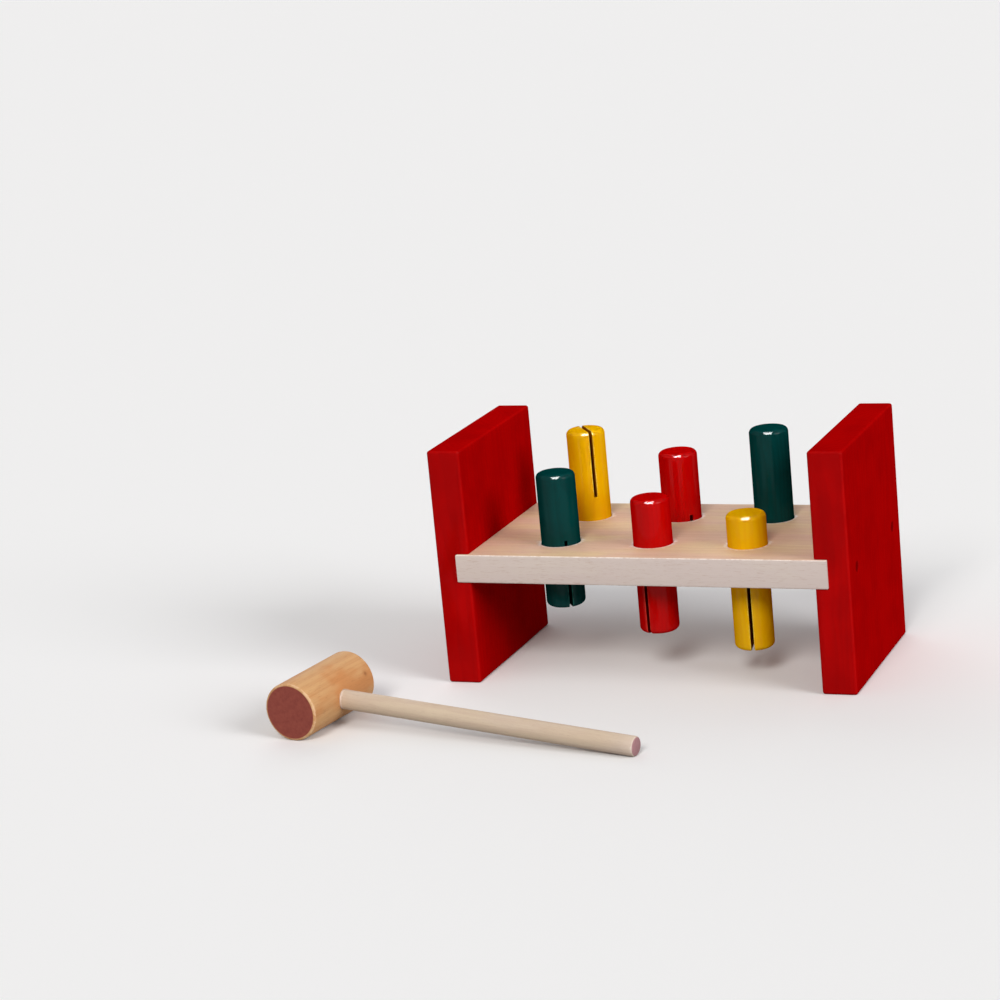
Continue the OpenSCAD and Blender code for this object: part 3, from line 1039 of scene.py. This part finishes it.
def bare_wood(name, colours, pith, grain_turn, ring_width, wander, fibre_scale=1.4, edge_polish_and_light=0.5,
              end_rings=0.4, tint_scale=(0.02, 0.05, 0.05), knot=None):
    """Wood coloured by its own figure, with end grain, planed sides and pale edges, partly painted highlight,
    in their own colours.
    """
    tree, place, mark = start_material(name, pith, grain_turn)
    wood = use_group(tree, figure_group, {"Position": place, "Ring Width": ring_width, "Wander": wander,
                                          "Fibre Scale": fibre_scale})
    marks = use_group(tree, handling_group, {"Position": place, "Amount": WOOD_HANDLING})
    wear = {"Edge": mark["edge"], "Position": place, "Amount": edge_polish_and_light}
    worn_and_lit = use_group(tree, wear_and_light_group, wear)["Mask"]
    broad = ramp(tree, noise(tree, place, tint_scale), *TINT_CUT)
    cloudy = noise(tree, place, CLOUD_SCALE, detail=3.0)
    figure = summed(tree, -0.65, (wood["Fibre"], 0.9), (wood["Rings"], 0.25), (cloudy, 0.7))
    layers = [(product(tree, broad, TINT_SHARE), colours["tint"]), (figure, colours["late"])]
    if "planed" in colours:
        layers.append((product(tree, mark["side"], PLANED_SHARE), colours["planed"]))
    layers.append((product(tree, wood["Pores"], PORE_SHARE), colours["pore"]))
    if knot is not None:
        away = summed(tree, vectors(tree, "DISTANCE", place, knot, "Value"), (wood["Fibre"], 1.5))
        layers += [(product(tree, ramp(tree, away, outer, inner), share), colours[part])
                   for outer, inner, share, part in KNOT_ZONES]
    speck = noise(tree, place, SPECK_SCALE, detail=5.0, roughness=0.75)
    mottle = summed(tree, -0.4, (speck, 1.2), (wood["Rings"], end_rings))
    end_shade = layered(tree, colours["end"], (mottle, colours["end_pore"]))
    # edges take the pale edge colour: rubbed wood, and along arrises and chamfers also a painted highlight
    layers += [(worn_and_lit, colours["polished"]), (mark["end_grain"], end_shade)]
    shade = layered(tree, colours["early"], *layers)
    roughness = summed(tree, WOOD_ROUGHNESS, (wood["Fibre"], 0.16), (worn_and_lit, -0.12), (mark["end_grain"], 0.15))
    normal = bumped(tree, (wood["Height"], GRAIN_DEPTH), (marks["Height"], WOOD_DENT))
    finish_material(name, tree, shade, roughness, normal, WOOD_SPECULAR)


# %% [markdown]
# Each wood gets its colours, and the place of its pith. The mallet's grain is turned to the head's and the
# handle's own axes, and its piths are given in the mallet's own frame too: along the handle, along the head
# and up. The head was turned from a squared blank, so its pith is off to one side. Its small knot lies on its
# side, near the far face.

# %% Woods of the bench
ALONG_X = (0, 0, 0)
PITH_BEFORE_PLANK = 30 * MM
PITH_BELOW_PLANK = 45 * MM
plank_pith = (0, plank_box[0, 1] - PITH_BEFORE_PLANK, plank_box[0, 2] - PITH_BELOW_PLANK)
# the pale edge colour of each wood is rubbed wood and, on arrises, also a painted highlight
PLANK_WOOD = palette(
    early=(227, 191, 167), tint=(234, 208, 163), late=(212, 170, 140), pore=(172, 130, 106),
    end=(188, 164, 152), end_pore=(160, 130, 112), polished=(250, 238, 230), planed=(212, 202, 200))
DOWEL_WOOD = palette(
    early=(214, 176, 132), tint=(206, 166, 122), late=(186, 140, 96), pore=(140, 96, 62),
    end=(168, 116, 82), end_pore=(140, 96, 62), polished=(226, 196, 158))
bare_wood("plank_wood", PLANK_WOOD, plank_pith, ALONG_X, ring_width=4.2, wander=30.0, fibre_scale=1.1,
          edge_polish_and_light=0.9)
bare_wood("dowel_wood", DOWEL_WOOD, (0, 0, 0), ALONG_X, ring_width=1.4, wander=6.0)

# %% Woods of the mallet
HEAD_PITH = np.array([-12, 0, 22]) * MM
HANDLE_PITH = np.array([0, 16, -10]) * MM
KNOT_AROUND = math.radians(26)
KNOT_ALONG = 21.5 * MM
# the mallet's pale edge colours are rubbed wood and, on the chamfers, also a painted highlight
HEAD_WOOD = palette(
    early=(212, 166, 116), tint=(202, 134, 80), late=(188, 128, 80), pore=(150, 96, 62),
    end=(152, 78, 66), end_pore=(112, 46, 46), polished=(236, 200, 162))
HANDLE_WOOD = palette(
    early=(214, 196, 180), tint=(216, 196, 168), late=(196, 170, 152), pore=(174, 144, 128),
    end=(176, 132, 136), end_pore=(150, 110, 112), polished=(232, 218, 208))


def turn_to(x_axis):
    """Turn that takes x to the given axis and keeps y level."""
    x = Vector(x_axis).normalized()
    y = Vector((0, 0, 1)).cross(x).normalized()
    return Matrix((x, y, x.cross(y))).transposed()


head_turn = turn_to(mallet_axes[1])
knot_away = (on_head(KNOT_AROUND, KNOT_ALONG) - HEAD_PITH) @ mallet_axes
bare_wood("mallet_head_wood", HEAD_WOOD, head_centre + HEAD_PITH @ mallet_axes, head_turn.to_euler(),
          ring_width=6.0, wander=20.0, fibre_scale=1.1, edge_polish_and_light=0.6, end_rings=0.1,
          tint_scale=(0.04, 0.08, 0.08), knot=head_turn.transposed() @ Vector(knot_away / MM))
bare_wood("mallet_handle_wood", HANDLE_WOOD, head_centre + HANDLE_PITH @ mallet_axes,
          turn_to(mallet_axes[0]).to_euler(), ring_width=2.2, wander=10.0, fibre_scale=1.6, edge_polish_and_light=0.8,
          end_rings=0.2)

# %% [markdown]
# ## Putting the pieces on the frame
#
# Each new piece moves with a body of the frame, stands in for the node that it was drawn around, and takes
# one finish. The dowels' own nodes stay, because their shape is already right and they are hidden in their
# holes.

# %% Ride, replace and finish
PEG_PAINTS = dict(zip(PEGS, ("green_paint", "red_peg_paint", "yellow_paint", "yellow_paint", "red_peg_paint",
                             "green_paint")))


def attach(piece, body, node, slot):
    """Sets a piece on its body in place of a node, with its finish."""
    piece.data.materials.append(finishes[slot])
    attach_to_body(piece, body)
    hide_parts(node)
    print(f"{piece.name} rides {body} in {slot}")


attach(left_end, "bench", "left_end_board", "red_paint")
attach(right_end, "bench", "right_end_board", "red_paint")
attach(plank, "bench", "plank", "plank_wood")
attach(head, "mallet", "mallet_head", "mallet_head_wood")
attach(handle, "mallet", "mallet_handle", "mallet_handle_wood")
for name, slot in PEG_PAINTS.items():
    attach(pegs[name], name, name, slot)
for name in ("left_front_dowel", "left_back_dowel", "right_front_dowel", "right_back_dowel"):
    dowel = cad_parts[name]
    dowel.data.materials.clear()
    dowel.data.materials.append(finishes["dowel_wood"])

# %% [markdown]
# ## Floor and light
#
# The floor is a wide pale disc, so that it reaches the horizon of a low view. It is pale to the eye and in
# reflections, but passes on less than half of the light that falls on it, so that undersides keep their
# depth. The light is a soft sun in front, one about as strong from the right, a weak broad one from behind,
# and the world. Together they light a white card to about nine tenths of white, so colours look about as they
# are written. A tall window high in front adds the bright spots on the pegs' rims, and lights nothing else.

# %% Floor
FLOOR_RADIUS = 9.0
FLOOR_SIDES = 128
FLOOR_COLOUR = (0.94, 0.94, 0.95, 1)
FLOOR_BOUNCE = (0.45, 0.45, 0.45, 1)
FLOOR_ROUGHNESS = 0.9


def seen_directly(tree):
    """One for camera, glossy and transmission rays, and zero for rays that carry diffuse light."""
    path = tree.nodes.new("ShaderNodeLightPath").outputs
    reflected = maths(tree, "MAXIMUM", path["Is Glossy Ray"], path["Is Transmission Ray"])
    return maths(tree, "MAXIMUM", path["Is Camera Ray"], reflected)


floor_mesh = bpy.data.meshes.new("floor")
floor_angle = np.linspace(0, 2 * math.pi, FLOOR_SIDES, endpoint=False)
floor_rim = joined(FLOOR_RADIUS * np.cos(floor_angle), FLOOR_RADIUS * np.sin(floor_angle), 0)
floor_mesh.from_pydata(floor_rim.tolist(), [], [list(range(FLOOR_SIDES))])
floor = bpy.data.objects.new("floor", floor_mesh)
bpy.context.scene.collection.objects.link(floor)
floor_material = bpy.data.materials.new("floor")
floor_material.use_nodes = True
floor_tree = floor_material.node_tree
floor_shader = floor_tree.nodes["Principled BSDF"]
floor_shade = layered(floor_tree, FLOOR_BOUNCE, (seen_directly(floor_tree), FLOOR_COLOUR))
floor_tree.links.new(floor_shade, floor_shader.inputs["Base Color"])
floor_shader.inputs["Roughness"].default_value = FLOOR_ROUGHNESS
floor_shader.inputs["Specular IOR Level"].default_value = 0.0
floor_mesh.materials.append(floor_material)
print("floor in m:", 2 * FLOOR_RADIUS, "across")

# %% Lamps
LAMP_MIDDLE = Vector((0, 0, 0.06))
SUN_DISTANCE = 2.0
# azimuth and elevation in degrees, strength, and width in degrees as seen from the bench
SUNS = {"key": (4, 38, 1.5, 20), "fill": (72, 27, 1.6, 30), "back": (212, 25, 0.7, 60)}
KEY_COLOUR = (1.0, 0.975, 0.935)
WINDOW_ENERGY = 340.0
WINDOW_SIZE = (0.75, 1.2)
# azimuth and elevation in degrees, and distance
WINDOW_PLACE = (20, 60, 1.2)


def lamp(name, kind, azimuth, elevation, distance, energy):
    """A lamp in a direction from the middle of the set, facing it."""
    data = bpy.data.lights.new(name, kind)
    data.energy = energy
    lamp_turn = facing_turn(math.radians(azimuth), math.radians(elevation))
    return face_towards(name, data, LAMP_MIDDLE, lamp_turn, distance)


for name, (azimuth, elevation, energy, width) in SUNS.items():
    sun = lamp(name, "SUN", azimuth, elevation, SUN_DISTANCE, energy)
    sun.data.angle = math.radians(width)
bpy.data.lights["key"].color = KEY_COLOUR
window = lamp("window", "AREA", *WINDOW_PLACE, WINDOW_ENERGY)
window.data.shape = "RECTANGLE"
window.data.size, window.data.size_y = WINDOW_SIZE
window.visible_diffuse = False
glossy_pieces = bpy.data.collections.new("glossy_pieces")
for peg in pegs.values():
    glossy_pieces.objects.link(peg)
window.light_linking.receiver_collection = glossy_pieces
print("lamps:", len(SUNS) + 1)

# %% World
WORLD_LIGHT = 0.3
WORLD_SEEN = 0.85
world = bpy.data.worlds.new("world")
bpy.context.scene.world = world
world.use_nodes = True
sky = world.node_tree
background = sky.nodes["Background"].inputs
background["Color"].default_value = (1, 1, 1, 1)
strength = summed(sky, WORLD_LIGHT, (seen_directly(sky), WORLD_SEEN - WORLD_LIGHT))
sky.links.new(strength, background["Strength"])
bpy.context.scene.view_settings.view_transform = "Standard"
print("world:", WORLD_LIGHT, "as light,", WORLD_SEEN, "to the eye")
